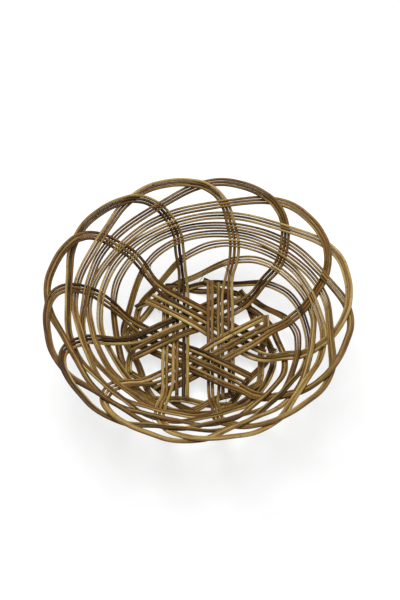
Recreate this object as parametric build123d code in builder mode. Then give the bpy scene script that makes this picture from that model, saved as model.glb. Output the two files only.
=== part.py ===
from build123d import *
import os
from math import acos, atan2, cos, degrees, hypot, pi, radians, sin, sqrt

os.makedirs("parts", exist_ok=True)

# An open-weave bowl basket. Thirty-six long cane rods in twelve groups of three.
# Each rod starts at a cut end on the base, crosses it in one of six bands, climbs the
# wall, leans over the rim, winds down round the wall through the other groups and
# ends plaited into the foot. Units are millimetres and degrees.

# Overall sizes
RIM_RADIUS = 152.0
BOWL_DEPTH = 74.0
WALL_CURVE = 1.25
BASE_RADIUS = 65.0

# Rods. They thin fastest near the butt: a TAPER of 1 would be an even taper.
BUTT_DIAMETER = 3.6
TIP_DIAMETER = 2.0
TAPER = 2.0
ROD_GAP = 0.3
CLEARANCE = 0.12
SAG = 0.05
LONGEST_RUN = 12.0

# Groups and bands
GROUPS = 12
RODS_IN_GROUP = 3
FIRST_UPRIGHT = 8.0
HOLE_ACROSS = 17.9
PAIR_STEP = 10.7
BUTT_OVERHANG = 6.0
STRAIGHT_END = 10.0
LOW_END = 1.22
LIFT_KEPT = 0.55

# How far along a rod is when it starts up the wall, turns over the rim, comes near the
# foot and is in it
RISE_SHARE = 0.15
TURN_SHARE = 0.26
LOW_SHARE = 0.78
FOOT_SHARE = 0.84

# Foot plait
FOOT_OUTSET = 9.0
FOOT_ENTRY = 240.0
FOOT_OVERLAP = 8.0
PLAIT_TURNS = 4

# Weave amplitude on the wall
MIDDLE_DIAMETER = (BUTT_DIAMETER + TIP_DIAMETER) / 2
UPRIGHT_WAVE = 0.13 * MIDDLE_DIAMETER
WINDING_WAVE = 1.00 * MIDDLE_DIAMETER

# How far each group's bend over the rim stands out from the even shape
REACH = (0.7, -0.2, -1.0, -1.4, -0.1, -0.7, 0.5, 0.4, -0.1, 0.6, -0.4, 0.6)

# Lean of the uprights by radius, for the groups from the high and the low band ends,
# past the angle at which each group leaves the base.
# Radii here and in OVER_RIM are for a bowl from 65 at the base to 152 at the rim.
HIGH_LEAN = ((66, 0.5), (80, -0.2), (96, -0.3), (110, 1.6))
LOW_LEAN = ((66, -0.4), (80, 2.1), (96, 2.8), (110, 3.0))
TOP_LEAN = ((122, 5.4), (132, 8.6), (140, 12.4), (145, 16.0), (148.5, 20.0))

# The way over the rim, angle past the upright and radius
OVER_RIM = ((20, 148.5), (27, 151.2), (36, 152), (44, 150.8), (52, 147), (60, 142),
            (68, 137.2), (82, 131.4), (96, 127.4))

# Below it the groups lie side by side on the wall, then drop into the foot
SIDE_BY_SIDE = (126, 156, 184)
INTO_FOOT = ((196, 0.20), (210, 0.55), (224, 0.86))
WALL_GAP = 2.0

# How far the rods of a group wander apart: on the uprights by radius, and on the way
# down the wall as a share of the room between one group and the next
UPRIGHT_SLACK = ((84, 0), (98, 1.6), (115, 1.4), (130, 0.8), (142, 0))
WINDING_SLACK = 0.42


def mix(a, b, t):
    return a + (b - a) * t


def along(table, x):
    """Smooth curve through a short table of (x, y) pairs."""
    n = len(table)
    k = 0
    while k < n - 2 and x > table[k + 1][0]:
        k += 1
    (x0, y0), (x1, y1) = table[k], table[k + 1]
    h = x1 - x0
    mid = (y1 - y0) / h
    before = (y0 - table[k - 1][1]) / (x0 - table[k - 1][0]) if k > 0 else mid
    after = (table[k + 2][1] - y1) / (table[k + 2][0] - x1) if k < n - 2 else mid
    s0 = (before + mid) / 2 * h
    s1 = (mid + after) / 2 * h
    t = (x - x0) / h
    if t < 0:
        return y0 + s0 * t
    if t > 1:
        return y1 + s1 * (t - 1)
    return (y0 * (1 + 2 * t) * (1 - t) ** 2 + s0 * t * (1 - t) ** 2
            + y1 * t * t * (3 - 2 * t) + s1 * t * t * (t - 1))


BASE_THICK = BUTT_DIAMETER + CLEARANCE
FOOT_WAVE = TIP_DIAMETER + 0.05
FOOT_HEIGHT = 2 * FOOT_WAVE + TIP_DIAMETER + ROD_GAP
BASE_LEVEL = FOOT_HEIGHT + LOW_END * BASE_THICK + BUTT_DIAMETER / 2 + CLEARANCE
FOOT_SWING = (TIP_DIAMETER + ROD_GAP) * 10 / 3
FOOT_RADIUS = BASE_RADIUS + FOOT_OUTSET
CUT_RADIUS = BASE_RADIUS + BUTT_OVERHANG
LEAVE_RADIUS = BASE_RADIUS - STRAIGHT_END
SLOTS = [HOLE_ACROSS / 2 + BUTT_DIAMETER / 2 + k // 2 * PAIR_STEP
         + k % 2 * (BUTT_DIAMETER + ROD_GAP) for k in range(6)]
SCALE = (RIM_RADIUS - BASE_RADIUS) / 87.0


def spread(r):
    """Radius on this bowl of a radius in the tables."""
    return BASE_RADIUS + (r - 65) * SCALE


def unspread(r):
    """Radius in the tables of a radius on this bowl."""
    return 65 + (r - BASE_RADIUS) / SCALE


RISE_RADIUS = spread(82)
FADE_RADIUS = spread(96)
TURN_RADIUS = spread(148.5)


def wall_height(r):
    x = max(r - BASE_RADIUS, 0) / (RIM_RADIUS - BASE_RADIUS)
    return BASE_LEVEL + BOWL_DEPTH * x ** WALL_CURVE


def wall_slope(r):
    x = max(r - BASE_RADIUS, 0) / (RIM_RADIUS - BASE_RADIUS)
    return BOWL_DEPTH * WALL_CURVE / (RIM_RADIUS - BASE_RADIUS) * x ** (WALL_CURVE - 1)


def thickness(part_way):
    """Diameter of a rod, part_way from 0 at the butt to 1 at the tip."""
    return mix(TIP_DIAMETER, BUTT_DIAMETER, (1 - part_way) ** TAPER)


def spacing(part_way):
    """Distance between the rods of a group, part_way along them."""
    return thickness(part_way) + ROD_GAP


def down_share(turn):
    """How far along a rod is, when it has turned this far past its upright."""
    return mix(TURN_SHARE, LOW_SHARE, (turn - 20) / 200)


def lean(group, r):
    """Angle of an upright past its nominal place at radius r."""
    if group % 2 == 0:
        low = HIGH_LEAN
        leave = degrees(acos(SLOTS[4] / CUT_RADIUS)) - 60 - FIRST_UPRIGHT
    else:
        low = LOW_LEAN
        leave = 90 - degrees(acos(SLOTS[1] / CUT_RADIUS)) - FIRST_UPRIGHT
    place = min(unspread(r), 148.5)
    fade = max(0, (110 - place) / 44)
    return along(low + TOP_LEAN, place) + leave * fade ** 2


def habit(group, side, x):
    """Slow wander of one rod beside its group, from 0 to 1, as x goes along it."""
    return 0.5 + 0.5 * sin(radians(x + 137 * group + 71 * side))


def descent(turn):
    """How far down the wall a group goes for each step along it."""
    r = winding_radius(turn)
    fall = winding_radius(turn - 0.5) - winding_radius(turn + 0.5)
    return fall * hypot(1, wall_slope(r)) / radians(r)


def drop(turn):
    """Distance on the wall from a group to the next one below it, 30 degrees on."""
    here = winding_radius(turn)
    below = winding_radius(turn + 30)
    down = (here - below) * hypot(1, wall_slope((here + below) / 2))
    return down / hypot(1, max(descent(turn), descent(turn + 30)))


def room(turn, part_way):
    """Bare wall between a group on its way down and its nearer neighbour."""
    width = 3 * spacing(part_way) - ROD_GAP
    ends = max(0, min(1, (turn - 66) / 20, (216 - turn) / 40))
    return max(0, min(drop(turn), drop(turn - 30)) - width) * ends ** 2 * (3 - 2 * ends)


def aside(group, side, gap, slack, x):
    """Distance of a rod from the middle of its group."""
    left = slack * habit(group, -1, x)
    right = slack * habit(group, 1, x)
    if side < 0:
        return -gap - left
    if side > 0:
        return gap + right
    return (right - left) / 2


def winding_way():
    """Angle past the upright and radius, over the rim and down the wall to the foot."""
    way = [(a, spread(r)) for a, r in OVER_RIM]
    for turn in SIDE_BY_SIDE:
        a, r = way[-1]
        pitch = 3 * spacing(down_share(turn - 15)) - ROD_GAP + WALL_GAP
        way.append((turn, r - pitch * (turn - a) / 30 / hypot(1, wall_slope(r - 3))))
    low = way[-1][1]
    for turn, share in INTO_FOOT:
        way.append((turn, mix(low, FOOT_RADIUS + FOOT_SWING, share)))
    return way


def winding_radius(a):
    return along(WINDING, a)


def winding_angle(r):
    lo, hi = 40.0, 236.0
    for _ in range(30):
        m = (lo + hi) / 2
        if winding_radius(m) > r:
            lo = m
        else:
            hi = m
    return (lo + hi) / 2


def flat_cos(p):
    """Cosine with flat crests, so a whole band lies clear of the band it crosses."""
    c = cos(pi * p)
    return c * (1.5 - 0.5 * c * c)


def reach(group, turn):
    """Extra radius of one group's bend over the rim."""
    t = max(0, min(1, (turn - 8) / 22, (78 - turn) / 34))
    return REACH[group] * SCALE * t * t * (3 - 2 * t)


def wall_point(angle, r, off):
    """Point on the wall surface, moved along its inward normal by off."""
    s = wall_slope(r)
    m = hypot(1, s)
    rr = r - off * s / m
    a = radians(angle)
    return (rr * cos(a), rr * sin(a), wall_height(r) + off / m)


def base_point(normal, slot, t):
    """Point of a base rod: slot is its distance from the middle, t runs clockwise."""
    a = radians(normal)
    turn = degrees(atan2(t, slot))
    turn = max(-60 * LOW_END, min(60 * LOW_END, turn))
    x = slot * cos(a) + t * sin(a)
    y = slot * sin(a) - t * cos(a)
    return (x, y, BASE_LEVEL - BASE_THICK * turn / 60)


def rod_points(group, rod):
    """Centre line of one rod, from its cut end on the base to its tip in the foot."""
    high = group % 2 == 0
    pts = []
    # base
    if high:
        normal = 30 * group - 60
        slot = SLOTS[3 + rod]
        way = -1
    else:
        normal = 30 * group + 90
        slot = SLOTS[2 - rod]
        way = 1
    t0 = -way * sqrt(CUT_RADIUS ** 2 - slot ** 2)
    t1 = way * sqrt(LEAVE_RADIUS ** 2 - slot ** 2)
    n = 16
    for k in range(n + 1):
        pts.append(base_point(normal, slot, mix(t0, t1, k / n)))
    # upright
    side = rod - 1
    home = 30 * group + FIRST_UPRIGHT
    rise = pts[-1][2] - BASE_LEVEL
    m = 30
    for k in range(m):
        r = mix(RISE_RADIUS, TURN_RADIUS, k / m)
        bend = radians(lean(group, r + 0.5) - lean(group, r - 0.5)) * r
        steep = hypot(1, wall_slope(r))
        step = hypot(bend, steep)
        slack = max(0, along(UPRIGHT_SLACK, unspread(r)))
        w = aside(group, side, spacing(mix(RISE_SHARE, TURN_SHARE, k / m)), slack, 5 * r)
        a = lean(group, r) - degrees(w * steep / step / r)
        r += w * bend / step / steep
        level = (winding_angle(r) - a) / 30
        level = max(1, min(7, level))
        off = -UPRIGHT_WAVE * flat_cos(level)
        x, y, z = wall_point(home + a, r + reach(group, a), off)
        fade = max(0, (FADE_RADIUS - r) / (FADE_RADIUS - RISE_RADIUS))
        pts.append((x, y, z + LIFT_KEPT * rise * fade ** 2))
    # over the rim and down the wall
    turn = 20.0
    while turn < 216:
        r = winding_radius(turn)
        fall = winding_radius(turn + 0.5) - winding_radius(turn - 0.5)
        steep = hypot(1, wall_slope(r))
        step = hypot(radians(r), fall * steep)
        part_way = down_share(turn)
        slack = WINDING_SLACK * room(turn, part_way)
        w = aside(group, side, spacing(part_way), slack, 2.4 * turn)
        a = turn - degrees(w * fall * steep / step / r)
        r += w * radians(r) / step / steep
        q = passes(home + a, min(r, TURN_RADIUS), group)
        wave = UPRIGHT_WAVE if q < 0.5 else WINDING_WAVE
        off = -wave * flat_cos(max(0, min(q, 7)) - 1)
        pts.append(wall_point(home + a, r + reach(group, turn), off))
        turn += 4.0 if turn < 60 else 6.0
    # down into the foot
    zc = FOOT_WAVE + TIP_DIAMETER / 2 + 0.1
    a = FOOT_ENTRY
    while a < FOOT_ENTRY + 90 - FOOT_OVERLAP + 0.1:
        p = radians(90 + PLAIT_TURNS * (a - FOOT_ENTRY))
        x = FOOT_SWING * sin(p)
        z = zc + FOOT_WAVE * sin(2 * p)
        dx = FOOT_SWING * PLAIT_TURNS * cos(p) / (FOOT_RADIUS + x)
        w = side * spacing(mix(FOOT_SHARE, 1, (a - FOOT_ENTRY) / 90))
        r = FOOT_RADIUS + x + w / hypot(1, dx)
        b = radians(home + a - degrees(w * dx / hypot(1, dx) / r))
        pts.append((r * cos(b), r * sin(b), z))
        a += 6.0
    return pts


WINDING = winding_way()


def passes(angle, r, group):
    """How many uprights a winding rod has passed since its own."""
    k = int((angle - FIRST_UPRIGHT) // 30) - 1
    while angle >= 30 * (k + 1) + FIRST_UPRIGHT + lean(k + 1, r):
        k += 1
    a0 = 30 * k + FIRST_UPRIGHT + lean(k, r)
    a1 = 30 * (k + 1) + FIRST_UPRIGHT + lean(k + 1, r)
    return k + (angle - a0) / (a1 - a0) - group

# SOLIDS
SIDES = ("left", "middle", "right")


def stations(way):
    """Places along a centre line, closer together where it bends."""
    length = way.length
    marks = [0.0]
    heading = way % 0
    for k in range(1, 900):
        u = k / 900
        run = length * (u - marks[-1])
        turn = radians((way % u).get_angle(heading))
        if run * turn / 8 > SAG or run > LONGEST_RUN:
            marks.append(u)
            heading = way % u
    marks[-1] = 1.0
    return marks


def make_rod(group, rod):
    """One tapered cane rod, lofted through round sections along its centre line."""
    with BuildLine() as line:
        Spline(*rod_points(group, rod))
    way = line.edges()[0]
    with BuildPart() as cane:
        for u in stations(way):
            heading = way % u
            across = Vector(0, 0, 1).cross(heading)
            with BuildSketch(Plane(origin=way @ u, x_dir=across, z_dir=heading)):
                Circle(thickness(u) / 2)
        loft(ruled=True)
    return cane.part


for group in range(GROUPS):
    for rod in range(RODS_IN_GROUP):
        with BuildPart() as piece:
            add(make_rod(group, rod))
        name = f"rod_{group + 1:02d}_{SIDES[rod]}"
        piece.part.label = name
        export_step(piece.part, f"parts/{name}.step")
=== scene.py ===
import bmesh
import bpy
from math import acos, atan2, cos, degrees, hypot, pi, radians, sin, sqrt
from mathutils import Matrix, Vector, noise
from random import Random


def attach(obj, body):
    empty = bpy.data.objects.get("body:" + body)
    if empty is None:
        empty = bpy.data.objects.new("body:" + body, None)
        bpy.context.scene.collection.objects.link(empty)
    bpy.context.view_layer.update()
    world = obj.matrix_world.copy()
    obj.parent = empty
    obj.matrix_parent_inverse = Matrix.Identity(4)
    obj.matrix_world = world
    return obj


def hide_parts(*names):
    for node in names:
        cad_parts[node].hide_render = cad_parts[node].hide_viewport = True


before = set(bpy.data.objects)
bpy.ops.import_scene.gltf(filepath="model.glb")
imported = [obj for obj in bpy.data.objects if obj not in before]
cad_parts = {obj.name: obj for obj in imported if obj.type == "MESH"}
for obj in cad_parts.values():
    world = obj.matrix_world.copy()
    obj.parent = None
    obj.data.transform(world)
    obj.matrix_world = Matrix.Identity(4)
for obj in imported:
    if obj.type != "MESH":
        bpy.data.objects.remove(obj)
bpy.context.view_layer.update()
MM = 0.001

# An open-weave bowl basket. Thirty-six long cane rods in twelve groups of three.
# Each rod starts at a cut end on the base, crosses it in one of six bands, climbs the
# wall, leans over the rim, winds down round the wall through the other groups and
# ends plaited into the foot. Units are millimetres and degrees.

# Overall sizes
RIM_RADIUS = 152.0
BOWL_DEPTH = 74.0
WALL_CURVE = 1.25
BASE_RADIUS = 65.0

# Rods. They thin fastest near the butt: a TAPER of 1 would be an even taper.
BUTT_DIAMETER = 3.6
TIP_DIAMETER = 2.0
TAPER = 2.0
ROD_GAP = 0.3
CLEARANCE = 0.12

# Groups and bands
GROUPS = 12
APART = 360 / GROUPS
RODS_IN_GROUP = 3
FIRST_UPRIGHT = 8.0
HOLE_ACROSS = 17.9
PAIR_STEP = 10.7
BUTT_OVERHANG = 6.0
STRAIGHT_END = 10.0
LOW_END = 1.22
LIFT_KEPT = 0.55

# How far along a rod is when it starts up the wall, turns over the rim, comes near the
# foot and is in it
RISE_SHARE = 0.15
TURN_SHARE = 0.26
LOW_SHARE = 0.78
FOOT_SHARE = 0.84

# Foot plait
FOOT_OUTSET = 9.0
FOOT_ENTRY = 240.0
FOOT_OVERLAP = 8.0
PLAIT_TURNS = 4

# Weave amplitude on the wall
MIDDLE_DIAMETER = (BUTT_DIAMETER + TIP_DIAMETER) / 2
UPRIGHT_WAVE = 0.13 * MIDDLE_DIAMETER
WINDING_WAVE = 1.00 * MIDDLE_DIAMETER

# How far each group's bend over the rim stands out from the even shape
REACH = (0.7, -0.2, -1.0, -1.4, -0.1, -0.7, 0.5, 0.4, -0.1, 0.6, -0.4, 0.6)

# Lean of the uprights by radius, for the groups from the high and the low band ends,
# past the angle at which each group leaves the base.
# Radii here and in OVER_RIM are for a bowl from TABLE_BASE to TABLE_RIM.
TABLE_BASE = 65
TABLE_RIM = 152
HIGH_LEAN = ((66, 0.5), (80, -0.2), (96, -0.3), (110, 1.6))
LOW_LEAN = ((66, -0.4), (80, 2.1), (96, 2.8), (110, 3.0))
TOP_LEAN = ((122, 5.4), (132, 8.6), (140, 12.4), (145, 16.0), (148.5, 20.0))

# The way over the rim, angle past the upright and radius
OVER_RIM = ((20, 148.5), (27, 151.2), (36, 152), (44, 150.8), (52, 147), (60, 142),
            (68, 137.2), (82, 131.4), (96, 127.4))
TOP_TURN, TOP_RADIUS = OVER_RIM[0]
LOW_TURN = 220
LAST_TURN = 216

# Where the bend over the rim starts and stops reaching out, and over how many degrees
REACH_FROM = 8
REACH_RISE = 22
REACH_TO = 78
REACH_FALL = 34

# Below it the groups lie side by side on the wall, then drop into the foot
SIDE_BY_SIDE = (126, 156, 184)
INTO_FOOT = ((196, 0.20), (210, 0.55), (224, 0.86))
WALL_GAP = 2.0

# How far the rods of a group wander apart: on the uprights by radius, and on the way
# down the wall as a share of the room between one group and the next
UPRIGHT_SLACK = ((84, 0), (98, 1.6), (115, 1.4), (130, 0.8), (142, 0))
WINDING_SLACK = 0.42
SLACK_FROM = 66
SLACK_RISE = 20
SLACK_FALL = 40

# How fast that wander swings along the uprights and the way down, and how far apart in
# their swing two groups and two rods are, in degrees
UPRIGHT_RATE = 5
WINDING_RATE = 2.4
GROUP_PHASE = 137
SIDE_PHASE = 71

# Angle between bands that cross on the base
BAND_TURN = 60

# Points along a rod: on the base, up the wall, over the rim, down the wall and in the foot
BASE_STEPS = 16
UPRIGHT_STEPS = 30
RIM_STEP = 4.0
RIM_END = 60
WALL_STEP = 6.0
FOOT_STEP = 6.0


def mix(a, b, t):
    return a + (b - a) * t


def along(table, x):
    """Smooth curve through a short table of (x, y) pairs."""
    n = len(table)
    k = 0
    while k < n - 2 and x > table[k + 1][0]:
        k += 1
    (x0, y0), (x1, y1) = table[k], table[k + 1]
    h = x1 - x0
    mid = (y1 - y0) / h
    before = (y0 - table[k - 1][1]) / (x0 - table[k - 1][0]) if k > 0 else mid
    after = (table[k + 2][1] - y1) / (table[k + 2][0] - x1) if k < n - 2 else mid
    s0 = (before + mid) / 2 * h
    s1 = (mid + after) / 2 * h
    t = (x - x0) / h
    if t < 0:
        return y0 + s0 * t
    if t > 1:
        return y1 + s1 * (t - 1)
    return (y0 * (1 + 2 * t) * (1 - t) ** 2 + s0 * t * (1 - t) ** 2
            + y1 * t * t * (3 - 2 * t) + s1 * t * t * (t - 1))


BASE_THICK = BUTT_DIAMETER + CLEARANCE
FOOT_WAVE = TIP_DIAMETER + 0.05
FOOT_HEIGHT = 2 * FOOT_WAVE + TIP_DIAMETER + ROD_GAP
BASE_LEVEL = FOOT_HEIGHT + LOW_END * BASE_THICK + BUTT_DIAMETER / 2 + CLEARANCE
FOOT_SWING = (TIP_DIAMETER + ROD_GAP) * 10 / 3
FOOT_RADIUS = BASE_RADIUS + FOOT_OUTSET
CUT_RADIUS = BASE_RADIUS + BUTT_OVERHANG
LEAVE_RADIUS = BASE_RADIUS - STRAIGHT_END
SLOTS = [HOLE_ACROSS / 2 + BUTT_DIAMETER / 2 + k // 2 * PAIR_STEP
         + k % 2 * (BUTT_DIAMETER + ROD_GAP) for k in range(6)]
SCALE = (RIM_RADIUS - BASE_RADIUS) / (TABLE_RIM - TABLE_BASE)


def spread(r):
    """Radius on this bowl of a radius in the tables."""
    return BASE_RADIUS + (r - TABLE_BASE) * SCALE


def unspread(r):
    """Radius in the tables of a radius on this bowl."""
    return TABLE_BASE + (r - BASE_RADIUS) / SCALE


RISE_RADIUS = spread(82)
FADE_RADIUS = spread(96)
TURN_RADIUS = spread(TOP_RADIUS)


def wall_height(r):
    x = max(r - BASE_RADIUS, 0) / (RIM_RADIUS - BASE_RADIUS)
    return BASE_LEVEL + BOWL_DEPTH * x ** WALL_CURVE


def wall_slope(r):
    x = max(r - BASE_RADIUS, 0) / (RIM_RADIUS - BASE_RADIUS)
    return BOWL_DEPTH * WALL_CURVE / (RIM_RADIUS - BASE_RADIUS) * x ** (WALL_CURVE - 1)


def thickness(part_way):
    """Diameter of a rod, part_way from 0 at the butt to 1 at the tip."""
    return mix(TIP_DIAMETER, BUTT_DIAMETER, (1 - part_way) ** TAPER)


def spacing(part_way):
    """Distance between the rods of a group, part_way along them."""
    return thickness(part_way) + ROD_GAP


def down_share(turn):
    """How far along a rod is, when it has turned this far past its upright."""
    return mix(TURN_SHARE, LOW_SHARE, (turn - TOP_TURN) / (LOW_TURN - TOP_TURN))


def lean(group, r):
    """Angle of an upright past its nominal place at radius r."""
    if group % 2 == 0:
        low = HIGH_LEAN
        leave = degrees(acos(SLOTS[4] / CUT_RADIUS)) - BAND_TURN - FIRST_UPRIGHT
    else:
        low = LOW_LEAN
        leave = 90 - degrees(acos(SLOTS[1] / CUT_RADIUS)) - FIRST_UPRIGHT
    place = min(unspread(r), TOP_RADIUS)
    first, last = low[0][0], low[-1][0]
    fade = max(0, (last - place) / (last - first))
    return along(low + TOP_LEAN, place) + leave * fade ** 2


def wander(group, side, x):
    """Slow wander of one rod beside its group, from 0 to 1, as x goes along it."""
    return 0.5 + 0.5 * sin(radians(x + GROUP_PHASE * group + SIDE_PHASE * side))


def descent(turn):
    """How far down the wall a group goes for each step along it."""
    r = winding_radius(turn)
    fall = winding_radius(turn - 0.5) - winding_radius(turn + 0.5)
    return fall * hypot(1, wall_slope(r)) / radians(r)


def drop(turn):
    """Distance on the wall from a group to the next one below it."""
    here = winding_radius(turn)
    below = winding_radius(turn + APART)
    down = (here - below) * hypot(1, wall_slope((here + below) / 2))
    return down / hypot(1, max(descent(turn), descent(turn + APART)))


def room(turn, part_way):
    """Bare wall between a group on its way down and its nearer neighbour."""
    width = RODS_IN_GROUP * spacing(part_way) - ROD_GAP
    ends = max(0, min(1, (turn - SLACK_FROM) / SLACK_RISE, (LAST_TURN - turn) / SLACK_FALL))
    return max(0, min(drop(turn), drop(turn - APART)) - width) * ends ** 2 * (3 - 2 * ends)


def aside(group, side, gap, slack, x):
    """Distance of a rod from the middle of its group."""
    left = slack * wander(group, -1, x)
    right = slack * wander(group, 1, x)
    if side < 0:
        return -gap - left
    if side > 0:
        return gap + right
    return (right - left) / 2


def winding_way():
    """Angle past the upright and radius, over the rim and down the wall to the foot."""
    way = [(a, spread(r)) for a, r in OVER_RIM]
    for turn in SIDE_BY_SIDE:
        a, r = way[-1]
        pitch = RODS_IN_GROUP * spacing(down_share(turn - APART / 2)) - ROD_GAP + WALL_GAP
        way.append((turn, r - pitch * (turn - a) / APART / hypot(1, wall_slope(r - 3))))
    low = way[-1][1]
    for turn, share in INTO_FOOT:
        way.append((turn, mix(low, FOOT_RADIUS + FOOT_SWING, share)))
    return way


def winding_radius(a):
    return along(WINDING, a)


def winding_angle(r):
    """Angle past the upright at which the way down has radius r, found by halving."""
    lo, hi = 40.0, 236.0
    for _ in range(30):
        m = (lo + hi) / 2
        if winding_radius(m) > r:
            lo = m
        else:
            hi = m
    return (lo + hi) / 2


def flat_cos(p):
    """Cosine with flat crests, so a whole band lies clear of the band it crosses."""
    c = cos(pi * p)
    return c * (1.5 - 0.5 * c * c)


def reach(group, turn):
    """Extra radius of one group's bend over the rim."""
    t = max(0, min(1, (turn - REACH_FROM) / REACH_RISE, (REACH_TO - turn) / REACH_FALL))
    return REACH[group] * SCALE * t * t * (3 - 2 * t)


def wall_point(angle, r, off):
    """Point on the wall surface, moved along its inward normal by off."""
    s = wall_slope(r)
    m = hypot(1, s)
    rr = r - off * s / m
    a = radians(angle)
    return (rr * cos(a), rr * sin(a), wall_height(r) + off / m)


def base_point(normal, slot, t):
    """Point of a base rod: slot is its distance from the middle, t runs clockwise."""
    a = radians(normal)
    turn = degrees(atan2(t, slot))
    turn = max(-BAND_TURN * LOW_END, min(BAND_TURN * LOW_END, turn))
    x = slot * cos(a) + t * sin(a)
    y = slot * sin(a) - t * cos(a)
    return (x, y, BASE_LEVEL - BASE_THICK * turn / BAND_TURN)


def rod_points(group, rod):
    """Centre line of one rod, from its cut end on the base to its tip in the foot."""
    high = group % 2 == 0
    pts = []
    # base
    if high:
        normal = APART * group - BAND_TURN
        slot = SLOTS[3 + rod]
        way = -1
    else:
        normal = APART * group + 90
        slot = SLOTS[2 - rod]
        way = 1
    t0 = -way * sqrt(CUT_RADIUS ** 2 - slot ** 2)
    t1 = way * sqrt(LEAVE_RADIUS ** 2 - slot ** 2)
    for k in range(BASE_STEPS + 1):
        pts.append(base_point(normal, slot, mix(t0, t1, k / BASE_STEPS)))
    # upright
    side = rod - 1
    home = APART * group + FIRST_UPRIGHT
    rise = pts[-1][2] - BASE_LEVEL
    for k in range(UPRIGHT_STEPS):
        part = k / UPRIGHT_STEPS
        r = mix(RISE_RADIUS, TURN_RADIUS, part)
        bend = radians(lean(group, r + 0.5) - lean(group, r - 0.5)) * r
        steep = hypot(1, wall_slope(r))
        step = hypot(bend, steep)
        slack = max(0, along(UPRIGHT_SLACK, unspread(r)))
        gap = spacing(mix(RISE_SHARE, TURN_SHARE, part))
        w = aside(group, side, gap, slack, UPRIGHT_RATE * r)
        a = lean(group, r) - degrees(w * steep / step / r)
        r += w * bend / step / steep
        level = (winding_angle(r) - a) / APART
        level = max(1, min(7, level))
        off = -UPRIGHT_WAVE * flat_cos(level)
        x, y, z = wall_point(home + a, r + reach(group, a), off)
        fade = max(0, (FADE_RADIUS - r) / (FADE_RADIUS - RISE_RADIUS))
        pts.append((x, y, z + LIFT_KEPT * rise * fade ** 2))
    # over the rim and down the wall
    turn = TOP_TURN
    while turn < LAST_TURN:
        r = winding_radius(turn)
        fall = winding_radius(turn + 0.5) - winding_radius(turn - 0.5)
        steep = hypot(1, wall_slope(r))
        step = hypot(radians(r), fall * steep)
        part_way = down_share(turn)
        slack = WINDING_SLACK * room(turn, part_way)
        w = aside(group, side, spacing(part_way), slack, WINDING_RATE * turn)
        a = turn - degrees(w * fall * steep / step / r)
        r += w * radians(r) / step / steep
        q = passes(home + a, min(r, TURN_RADIUS), group)
        wave = UPRIGHT_WAVE if q < 0.5 else WINDING_WAVE
        off = -wave * flat_cos(max(0, min(q, 7)) - 1)
        pts.append(wall_point(home + a, r + reach(group, turn), off))
        turn += RIM_STEP if turn < RIM_END else WALL_STEP
    # down into the foot
    zc = FOOT_WAVE + TIP_DIAMETER / 2 + 0.1
    a = FOOT_ENTRY
    while a < FOOT_ENTRY + 90 - FOOT_OVERLAP + 0.1:
        p = radians(90 + PLAIT_TURNS * (a - FOOT_ENTRY))
        x = FOOT_SWING * sin(p)
        z = zc + FOOT_WAVE * sin(2 * p)
        dx = FOOT_SWING * PLAIT_TURNS * cos(p) / (FOOT_RADIUS + x)
        w = side * spacing(mix(FOOT_SHARE, 1, (a - FOOT_ENTRY) / 90))
        r = FOOT_RADIUS + x + w / hypot(1, dx)
        b = radians(home + a - degrees(w * dx / hypot(1, dx) / r))
        pts.append((r * cos(b), r * sin(b), z))
        a += FOOT_STEP
    return pts


WINDING = winding_way()


def passes(angle, r, group):
    """How many uprights a winding rod has passed since its own."""
    k = int((angle - FIRST_UPRIGHT) // APART) - 1
    while angle >= APART * (k + 1) + FIRST_UPRIGHT + lean(k + 1, r):
        k += 1
    a0 = APART * k + FIRST_UPRIGHT + lean(k, r)
    a1 = APART * (k + 1) + FIRST_UPRIGHT + lean(k + 1, r)
    return k + (angle - a0) / (a1 - a0) - group


# ---------------------------------------------------------------- materials
# Height in metres over which the bark goes from darker low in the bowl to paler and greyer near the
# rim: painted shade low down, painted light higher up
PAINTED_SHADE_HEIGHT = 0.09


class Value:
    """A number in a material. Arithmetic on it adds Math nodes."""

    def __init__(self, finish, socket):
        self.finish = finish
        self.socket = socket

    def maths(self, operation, *terms):
        return self.finish.node("ShaderNodeMath", {"operation": operation}, dict(enumerate(terms)))[0]

    def __add__(self, other):
        return self.maths("ADD", self, other)

    def __sub__(self, other):
        return self.maths("SUBTRACT", self, other)

    def __mul__(self, other):
        return self.maths("MULTIPLY", self, other)

    def __truediv__(self, other):
        return self.maths("DIVIDE", self, other)

    def __pow__(self, other):
        return self.maths("POWER", self, other)

    def __rsub__(self, other):
        return self.maths("SUBTRACT", other, self)

    __radd__ = __add__
    __rmul__ = __mul__

    def kept(self):
        """Held between 0 and 1."""
        return self.maths("MINIMUM", self.maths("MAXIMUM", self, 0.0), 1.0)


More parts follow.
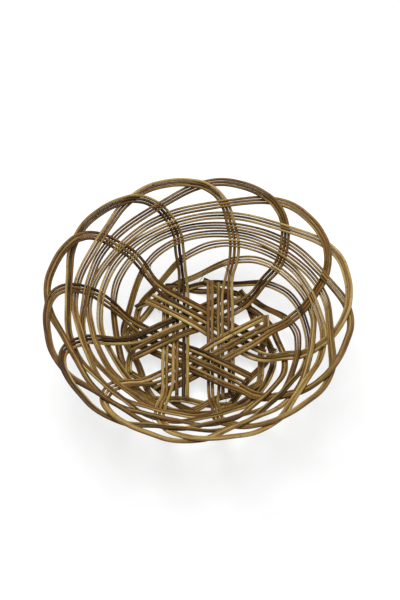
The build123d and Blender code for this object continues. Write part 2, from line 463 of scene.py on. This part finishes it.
class Finish:
    """A material under construction."""

    def __init__(self, name):
        self.material = bpy.data.materials.new(name)
        self.material.use_nodes = True
        self.tree = self.material.node_tree
        self.tree.nodes.clear()

    def node(self, kind, settings=None, inputs=None):
        """Add a node: its settings first, then the values or links of its sockets."""
        made = self.tree.nodes.new(kind)
        for key, value in (settings or {}).items():
            if key == "stops":
                ramp = made.color_ramp
                while len(ramp.elements) < len(value):
                    ramp.elements.new(0.5)
                for stop, (place, colour) in zip(ramp.elements, value):
                    stop.position = place
                    stop.color = (*colour, 1)
            else:
                setattr(made, key, value)
        for key, value in (inputs or {}).items():
            if isinstance(value, Value):
                self.tree.links.new(value.socket, made.inputs[key])
            else:
                made.inputs[key].default_value = value
        return {key: Value(self, out) for k, out in enumerate(made.outputs)
                for key in (k, out.name)}

    def noise(self, place, scale, detail=3.0, roughness=0.5):
        settings = {"noise_dimensions": "3D"}
        inputs = {"Vector": place, "Scale": scale, "Detail": detail, "Roughness": roughness}
        return self.node("ShaderNodeTexNoise", settings, inputs)[0]

    def stretched(self, place, amounts):
        return self.node("ShaderNodeVectorMath", {"operation": "MULTIPLY"}, {0: place, 1: amounts})[0]

    def mixed(self, amount, a, b):
        return self.node("ShaderNodeMix", {"data_type": "RGBA"}, {0: amount, 6: a, 7: b})[2]

    def surface(self, **inputs):
        sockets = {key.replace("_", " "): value for key, value in inputs.items()}
        shader = self.node("ShaderNodeBsdfPrincipled", {}, sockets)["BSDF"]
        self.node("ShaderNodeOutputMaterial", {}, {"Surface": shader})
        return self.material


def srgb(r, g, b):
    """A colour as it looks, as the numbers a shader takes."""
    return tuple(c / 12.92 if c < 0.04045 else ((c + 0.055) / 1.055) ** 2.4
                 for c in (r / 255, g / 255, b / 255))


def bark_finish():
    """Unpeeled cane: olive brown bark with streaks along the rod, flecks and leaf joints."""
    f = Finish("cane_bark")
    rod = f.node("ShaderNodeAttribute", {"attribute_name": "rod_space"})["Vector"]
    habit = f.node("ShaderNodeAttribute", {"attribute_name": "habit"})
    parts = f.node("ShaderNodeSeparateColor", {}, {0: habit["Color"]})
    tone, warmth, knot = parts[0], parts[1], parts[2]
    # Height over the table, which drives painted shade: darker bark low in the bowl, paler near the
    # rim
    height = f.node("ShaderNodeTexCoord")["Object"]
    height = f.node("ShaderNodeSeparateXYZ", {}, {0: height})[2] / PAINTED_SHADE_HEIGHT

    streak = f.noise(f.stretched(rod, (1.5, 1.5, 0.030)), 1.0, 5.0, 0.62)
    fibre = f.noise(f.stretched(rod, (5.0, 5.0, 0.10)), 1.0, 3.0, 0.6)
    patch = f.noise(f.stretched(rod, (0.22, 0.22, 0.020)), 1.0, 3.0, 0.55)
    blush = f.noise(f.stretched(rod, (0.35, 0.35, 0.034)), 1.0, 2.0, 0.5)
    dust = f.noise(f.stretched(rod, (0.8, 0.8, 0.16)), 1.0, 5.0, 0.7)
    fleck = f.noise(f.stretched(rod, (2.6, 2.6, 0.9)), 1.0, 2.0, 0.5)

    light = (0.46 + (streak - 0.5) * 1.9 + (patch - 0.5) * 1.0 + (tone - 0.5) * 0.8
             + (fibre - 0.5) * 0.7)
    bark = f.node("ShaderNodeValToRGB", {"stops": (
        (0.00, srgb(28, 15, 4)),
        (0.28, srgb(78, 52, 17)),
        (0.52, srgb(117, 91, 44)),
        (0.76, srgb(144, 120, 66)),
        (1.00, srgb(172, 148, 96)))}, {0: light.kept()})[0]
    red = ((blush - 0.50) * 4.0 + (warmth - 0.5) * 1.2).kept() * 0.50
    bark = f.mixed(red, bark, (*srgb(108, 64, 28), 1))
    olive = ((0.46 - blush) * 4.0).kept() * 0.35
    bark = f.mixed(olive, bark, (*srgb(118, 104, 40), 1))
    # Grey in random patches of dust, plus painted shade and light by height: darker low in the bowl,
    # paler and greyer towards the rim
    grey = ((dust - 0.50) * 3.0 + (height - 0.75) * 0.9).kept() * 0.28
    bark = f.mixed(grey, bark, (*srgb(132, 113, 76), 1))
    bark = f.mixed(((fleck - 0.63) * 9.0).kept() * 0.55, bark, (*srgb(44, 28, 12), 1))
    ring = (knot ** 3.0 * (0.55 + (fibre - 0.5))).kept()
    bark = f.mixed(ring, bark, (*srgb(58, 38, 18), 1))

    ridges = streak * 0.9 + fibre * 0.5 - fleck * 0.2 + knot * 0.6
    bump = f.node("ShaderNodeBump", {}, {"Strength": 0.55, "Distance": 0.00022, "Height": ridges})
    rough = (0.55 + (fibre - 0.5) * 0.35 + (dust - 0.5) * 0.4).kept()
    return f.surface(Base_Color=bark, Roughness=rough, Normal=bump[0], Coat_Weight=0.02,
                     Coat_Roughness=0.4, IOR=1.22)


def cut_finish():
    """The cut end of a cane rod: pale wood round a brown pith, with a thin ring of bark."""
    f = Finish("cane_cut_end")
    rod = f.node("ShaderNodeAttribute", {"attribute_name": "rod_space"})["Vector"]
    flat = f.stretched(rod, (0.62, 0.62, 0.0))
    out = f.node("ShaderNodeVectorMath", {"operation": "LENGTH"}, {0: flat})[1]
    grain = f.noise(rod, 3.0, 4.0, 0.6)
    wood = f.node("ShaderNodeValToRGB", {"stops": (
        (0.00, srgb(112, 80, 46)),
        (0.22, srgb(164, 138, 94)),
        (0.80, srgb(146, 120, 78)),
        (0.95, srgb(92, 66, 36)))}, {0: (out + (grain - 0.5) * 0.2).kept()})[0]
    bump = f.node("ShaderNodeBump", {}, {"Strength": 0.4, "Distance": 0.0002, "Height": grain})
    return f.surface(Base_Color=wood, Roughness=0.75 + (grain - 0.5) * 0.2, Normal=bump[0])


# ---------------------------------------------------------------- rods as meshes
SIDES = ("left", "middle", "right")
STEP = 2.4
FACETS = 14

# Leaf joints: the first, the usual distance to the next, how much both vary, and how far
# a joint's swelling runs each way
FIRST_JOINT = 30
FIRST_JOINT_VARIES = 40
JOINT_STEP = 66
JOINT_STEP_VARIES = 50
JOINT_HALF = 3.0
SWELL = 0.03

# Distance between rods in the space their bark is drawn in, so that no two are alike
ROD_APART = 1000

# Frayed fibres: steps along one, facets, thickness at its root and what each millimetre of
# length adds, how much it thins, how deep its root sits, and its tone, warmth and knot
HAIR_STEPS = 12
HAIR_FACETS = 6
HAIR_RADIUS = 0.28
HAIR_RADIUS_GROWTH = 0.008
HAIR_THINNING = 0.65
HAIR_SUNK = 0.25
HAIR_HABIT = (0.1, 0.5, 0, 1)

# How much of the gap beside it a rod fills, by the share of the way along it. The rods
# of a group are pressed together on the base, over the rim and in the foot.
PRESSED = ((0, 0.9), (0.12, 0.9), (0.18, 0.5), (0.24, 0.9), (0.36, 0.8), (0.50, 0.4),
           (0.76, 0.4), (0.86, 0.95), (1, 0.95))

# Frayed fibres stand off the cane where it is bent hard and where it is rubbed: at the
# foot of the uprights, here and there on the wall, and low on the wall. Each stretch is a
# share of the way along a rod from and to, how many fibres, and the longest of them.
FRAYING = ((0.13, 0.18, 6, 26), (0.45, 0.62, 3, 12), (0.73, 0.90, 9, 30))


def smooth_way(points):
    """Even points, about STEP apart, on the smooth curve through a rod's centre points."""
    last = len(points) - 1
    run = [(points[k + 1] - points[k]).length for k in range(last)]
    upper = [0.0] * (last + 1)
    bend = [Vector((0, 0, 0)) for _ in points]
    for k in range(1, last):
        turn = (points[k + 1] - points[k]) / run[k] - (points[k] - points[k - 1]) / run[k - 1]
        weight = 2 * (run[k - 1] + run[k]) - run[k - 1] * upper[k - 1]
        upper[k] = run[k] / weight
        bend[k] = (6 * turn - run[k - 1] * bend[k - 1]) / weight
    for k in range(last - 1, 0, -1):
        bend[k] -= upper[k] * bend[k + 1]
    way = []
    for k in range(last):
        parts = max(1, round(run[k] / STEP))
        for j in range(parts):
            b = j / parts
            a = 1 - b
            sway = (a ** 3 - a) * bend[k] + (b ** 3 - b) * bend[k + 1]
            way.append(a * points[k] + b * points[k + 1] + sway * run[k] ** 2 / 6)
    way.append(points[last])
    return way


def leaf_joints(seed, length):
    """Places of the leaf joints along one rod."""
    places = []
    s = FIRST_JOINT + FIRST_JOINT_VARIES * noise.noise((seed * 7.3, 1.7, 0))
    while s < length:
        places.append(s)
        s += JOINT_STEP + JOINT_STEP_VARIES * noise.noise((seed * 3.1, s * 0.13, 4.2))
    return places


def frame_along(way, k):
    """Where ring k of a way stands, with its z axis along the way."""
    heading = (way[min(k + 1, len(way) - 1)] - way[max(k - 1, 0)]).normalized()
    across = Vector((0, 0, 1)).cross(heading).normalized()
    turned = Matrix((across, heading.cross(across), heading)).transposed().to_4x4()
    return Matrix.Scale(MM, 4) @ Matrix.Translation(way[k]) @ turned


def grow_skin(bm, way, sizes, facets, mark):
    """A closed round skin along a way. mark(point, place, k) is called for each new point."""
    place = frame_along(way, 0)
    circle = bmesh.ops.create_circle(bm, segments=facets, radius=sizes[0], matrix=place)
    edges = bm.edges[:]
    ends = bmesh.ops.contextual_create(bm, geom=edges)["faces"]
    for v in circle["verts"]:
        mark(v, place.inverted() @ v.co, 0)
    for k in range(1, len(way)):
        last = place
        place = frame_along(way, k)
        grown = bmesh.ops.extrude_edge_only(bm, edges=edges)["geom"]
        ring = [g for g in grown if isinstance(g, bmesh.types.BMVert)]
        edges = [g for g in grown if isinstance(g, bmesh.types.BMEdge) and g.is_boundary]
        grow = sizes[k] / sizes[k - 1]
        move = place @ Matrix.Diagonal((grow, grow, 1, 1)) @ last.inverted()
        bmesh.ops.transform(bm, matrix=move, verts=ring)
        for v in ring:
            mark(v, place.inverted() @ v.co, k)
    ends += bmesh.ops.contextual_create(bm, geom=edges)["faces"]
    bmesh.ops.recalc_face_normals(bm, faces=bm.faces)
    for face in bm.faces:
        face.smooth = True
    for face in ends:
        face.smooth = False
        face.material_index = 1


def finish_piece(bm, name):
    """Make a bmesh an object of the basket."""
    mesh = bpy.data.meshes.new(name)
    bm.to_mesh(mesh)
    bm.free()
    mesh.materials.append(bark)
    mesh.materials.append(cut_end)
    piece = bpy.data.objects.new(name, mesh)
    bpy.context.scene.collection.objects.link(piece)
    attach(piece, "root")
    return piece


def skin_piece(name, way, sizes, facets, places, habits):
    """A piece with a round skin. Each point keeps its place on the rod and its habit."""
    bm = bmesh.new()
    rod_space = bm.verts.layers.float_vector.new("rod_space")
    habit = bm.verts.layers.float_color.new("habit")

    def mark(v, p, k):
        v[rod_space] = (p.x, p.y, places[k])
        v[habit] = habits[k]

    grow_skin(bm, way, sizes, facets, mark)
    return finish_piece(bm, name)


def lengths_along(way):
    """How far along the way each of its points is."""
    marks = [0.0]
    for a, b in zip(way, way[1:]):
        marks.append(marks[-1] + (b - a).length)
    return marks


def cane_rod(name, way, seed):
    """A tapered rod with its bark, swept along its centre line."""
    marks = lengths_along(way)
    joints = leaf_joints(seed, marks[-1])
    tone = 0.5 + noise.noise((seed * 5.17, 0.3, 9.1))
    warmth = 0.5 + noise.noise((seed * 2.71, 7.7, 1.3))
    knots = []
    sizes = []
    for s in marks:
        knot = max(0, 1 - min(abs(s - j) for j in joints) / JOINT_HALF)
        knots.append(knot * knot * (3 - 2 * knot))
        share = s / marks[-1]
        swell = 1 + SWELL * noise.noise((s * 0.03, seed * 4.9, 0)) + SWELL * knots[-1]
        sizes.append(thickness(share) / 2 * swell + along(PRESSED, share) * ROD_GAP / 2)
    places = [s + seed * ROD_APART for s in marks]
    habits = [(tone, warmth, knot, 1) for knot in knots]
    return skin_piece(name, way, sizes, FACETS, places, habits)


def frayed_fibre(name, way, share, extent, seed):
    """A hair of bark that has split off a rod and stands away from it."""
    k = round(share * (len(way) - 2))
    heading = (way[k + 1] - way[k]).normalized()
    out = (Vector((0, 0, 1)) - heading.z * heading).normalized()
    side = out.cross(heading)
    start = way[k] + out * (thickness(share) / 2 - HAIR_SUNK)
    ahead, up, sideways = extent
    length = Vector(extent).length
    hair = []
    for j in range(HAIR_STEPS + 1):
        t = j / HAIR_STEPS
        bend = 0.3 * t + 0.7 * t * t
        curl = noise.noise((seed * 1.9, t * 1.3, 0)) * length * 0.3 * t * (1 - t)
        hair.append(start + heading * ahead * t + out * (up * bend + curl)
                    + side * (sideways * bend + curl))
    radius = HAIR_RADIUS + HAIR_RADIUS_GROWTH * length
    sizes = [radius * (1 - HAIR_THINNING * j / HAIR_STEPS) for j in range(HAIR_STEPS + 1)]
    places = [j + seed * ROD_APART for j in range(HAIR_STEPS + 1)]
    habits = [HAIR_HABIT] * (HAIR_STEPS + 1)
    return skin_piece(name, hair, sizes, HAIR_FACETS, places, habits)


def fibre_reach(draw, longest):
    """How far a fibre reaches along its rod, up from it and aside."""
    length = longest * draw.uniform(0.4, 1)
    swing = radians(draw.uniform(20, 160))
    return length * cos(swing), draw.uniform(2, 4), length * sin(swing)


bark = bark_finish()
cut_end = cut_finish()
ways = {}
for group in range(GROUPS):
    for rod in range(RODS_IN_GROUP):
        place = f"{group + 1:02d}_{SIDES[rod]}"
        way = smooth_way([Vector(p) for p in rod_points(group, rod)])
        ways[group, rod] = way
        cane = cane_rod(f"cane_{place}", way, RODS_IN_GROUP * group + rod + 1)
        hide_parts(f"rod_{place}")

count = 0
for first, last, number, longest in FRAYING:
    for _ in range(number):
        count += 1
        draw = Random(count)
        way = ways[draw.randrange(GROUPS), draw.randrange(RODS_IN_GROUP)]
        share = draw.uniform(first, last)
        frayed_fibre(f"fibre_{count:02d}", way, share, fibre_reach(draw, longest), count)

# ---------------------------------------------------------------- floor, light and camera
# Half the floor's side in metres, its grey, and how much of it glows where it is seen
FLOOR_HALF = 6
FLOOR_GREY = 0.86
GLOW = 0.7

# Lamps: name, place, size and power
LAMPS = (("key", (-0.3, 0.9, 1.4), 0.6, 22),
         ("top", (0.0, 0.1, 1.6), 0.9, 12),
         ("left", (-1.4, 0.2, 0.9), 1.2, 8),
         ("right", (1.4, 0.0, 0.9), 1.2, 14))
WORLD_LIGHT = 0.22

# Camera: angle above the table, distance, the point it looks at, and its lens
ELEVATION = 57.9
DISTANCE = 1.474
AIM = Vector((0.0020, 0.0195, 0.060))
SENSOR = 36
LENS = 130.5


def floor_finish():
    """White floor that keeps a faint shadow."""
    f = Finish("pale_floor")
    ray = f.node("ShaderNodeLightPath")
    seen = (ray["Is Camera Ray"] + ray["Is Glossy Ray"]).kept()
    matt = f.node("ShaderNodeBsdfDiffuse", {}, {"Color": (FLOOR_GREY, FLOOR_GREY, FLOOR_GREY, 1)})[0]
    glow = f.node("ShaderNodeEmission", {}, {"Color": (1, 1, 1, 1), "Strength": 1.0})[0]
    blend = f.node("ShaderNodeMixShader", {}, {0: seen * GLOW, 1: matt, 2: glow})[0]
    f.node("ShaderNodeOutputMaterial", {}, {"Surface": blend})
    return f.material


bm = bmesh.new()
bmesh.ops.create_grid(bm, x_segments=1, y_segments=1, size=FLOOR_HALF)
mesh = bpy.data.meshes.new("floor")
bm.to_mesh(mesh)
bm.free()
floor = bpy.data.objects.new("floor", mesh)
bpy.context.scene.collection.objects.link(floor)
floor.data.materials.append(floor_finish())


def lamp(name, place, size, power):
    """A square soft lamp aimed at the basket."""
    light = bpy.data.lights.new(name, "AREA")
    light.size = size
    light.energy = power
    light_object = bpy.data.objects.new(name, light)
    light_object.location = place
    light_object.rotation_euler = Vector(place).to_track_quat("Z", "Y").to_euler()
    bpy.context.scene.collection.objects.link(light_object)


for lamp_settings in LAMPS:
    lamp(*lamp_settings)

world = bpy.data.worlds.new("studio")
world.use_nodes = True
background = world.node_tree.nodes["Background"]
background.inputs["Color"].default_value = (1, 1, 1, 1)
background.inputs["Strength"].default_value = WORLD_LIGHT
scene = bpy.context.scene
scene.world = world
scene.view_settings.view_transform = "Standard"

tilt = radians(ELEVATION)
camera = bpy.data.cameras.new("camera")
camera.sensor_fit = "HORIZONTAL"
camera.sensor_width = SENSOR
camera.lens = LENS
eye = bpy.data.objects.new("camera", camera)
eye.location = AIM + DISTANCE * Vector((0, -cos(tilt), sin(tilt)))
eye.rotation_euler = (pi / 2 - tilt, 0, 0)
scene.collection.objects.link(eye)
scene.camera = eye
